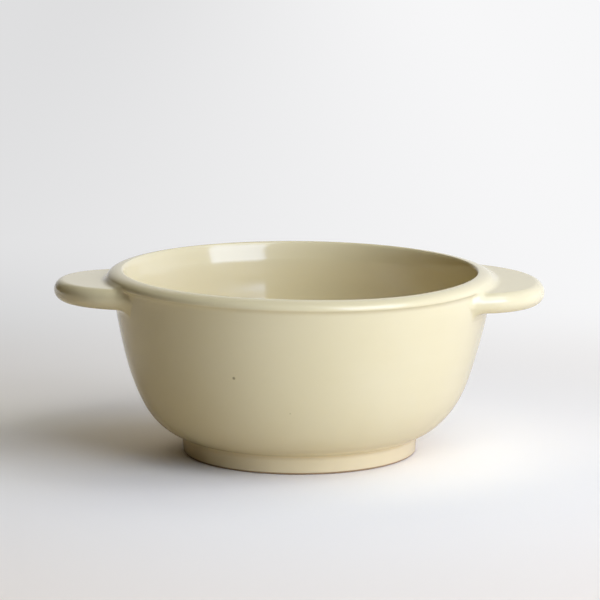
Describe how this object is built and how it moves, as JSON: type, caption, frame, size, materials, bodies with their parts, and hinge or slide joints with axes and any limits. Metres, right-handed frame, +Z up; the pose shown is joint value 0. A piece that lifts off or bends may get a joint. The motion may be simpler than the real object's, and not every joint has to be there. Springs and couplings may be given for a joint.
{
  "type": "lug soup bowl",
  "caption": "Glazed stoneware soup bowl with a rolled lip, a turned foot ring and a flat half-round lug for lifting at each side.",
  "frame": {"origin": "middle of the foot's underside, on the surface that the bowl stands on", "axes": "+Z up out of the mouth, +X towards the right-hand lug, the other lug towards -X"},
  "size_m": [0.1732, 0.1356, 0.065],
  "materials": {
    "cream_glaze": "clear glossy glaze over pale cream stoneware",
    "foot_glaze": "the same glaze, thinner and warmer, wiped back to bare clay where the foot stands"
  },
  "bodies": {
    "root": {"bowl_body": "cream_glaze", "foot_ring": "foot_glaze", "lug_left": "cream_glaze", "lug_right": "cream_glaze"}
  },
  "joints": []
}
